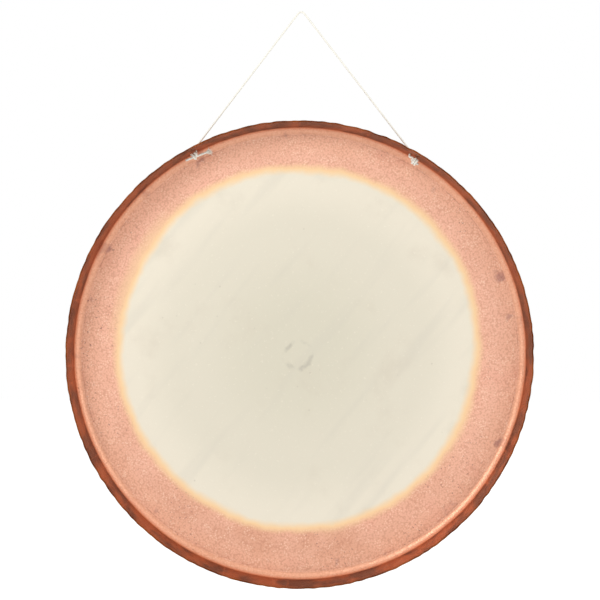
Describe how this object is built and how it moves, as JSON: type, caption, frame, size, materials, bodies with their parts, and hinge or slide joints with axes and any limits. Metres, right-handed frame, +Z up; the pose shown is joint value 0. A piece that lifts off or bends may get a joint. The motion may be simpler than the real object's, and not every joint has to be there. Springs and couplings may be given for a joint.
{
  "type": "tam gong",
  "caption": "Bronze tam gong, a domed sheet with a shallow turned rim, hanging from one knotted cord",
  "frame": {"origin": "where a hook bears on the underside of the cord, at its highest point, straight above the gong's middle", "axes": "+Z up, +X to the right as the viewer of the hollow back sees it, +Y from the hollow back to the struck front"},
  "size_m": [0.812, 0.0949, 1.0031],
  "materials": {
    "bronze": "hammered bronze, pale lacquered middle, pink copper ring, dark rim",
    "cord": "white twisted cord"
  },
  "bodies": {
    "cord": {"hanging_cord": "cord"},
    "gong": {"gong_body": "bronze", "left_knot": "cord", "right_knot": "cord"}
  },
  "joints": [
    {"name": "gong_tilt", "type": "hinge", "parent": "cord", "child": "gong", "pos_m": [0, 0, -0.23865], "axis": [0.9999, 0, -0.0105], "range_deg": [-57, 60]}
  ]
}
